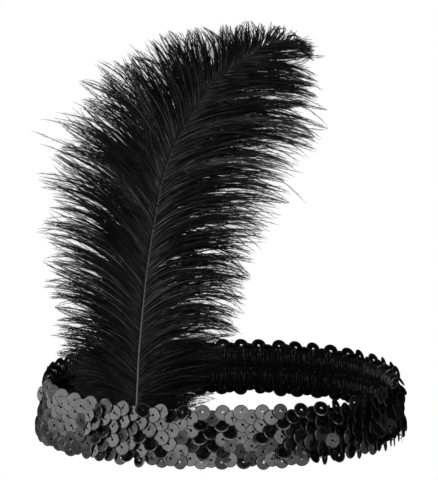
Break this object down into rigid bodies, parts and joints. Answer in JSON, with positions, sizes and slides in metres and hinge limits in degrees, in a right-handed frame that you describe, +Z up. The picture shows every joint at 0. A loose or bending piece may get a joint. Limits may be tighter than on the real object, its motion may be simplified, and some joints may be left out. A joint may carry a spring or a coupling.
{
  "type": "flapper feather headband",
  "caption": "Stretch headband loop covered in round sequins, with a single curled ostrich plume held inside its left front.",
  "frame": {"origin": "middle of the loop on the surface that it stands on", "axes": "+Z up along the plume, -Y towards the forehead side, +X to the right seen from the front"},
  "size_m": [0.1478, 0.1168, 0.1752],
  "materials": {
    "elastic": "black knitted elastic with two ribs on its inner face",
    "sequins": "black flat round sequins with a smooth gloss",
    "felt": "black felt",
    "shaft": "dyed quill, dark grey with a satin sheen",
    "plume": "dyed black ostrich barbs, soft with a faint sheen"
  },
  "bodies": {
    "root": {"elastic_band": "elastic", "sequin_field": "sequins", "quill_pad": "felt", "feather_shaft": "shaft", "feather_plume": "plume"}
  },
  "joints": []
}
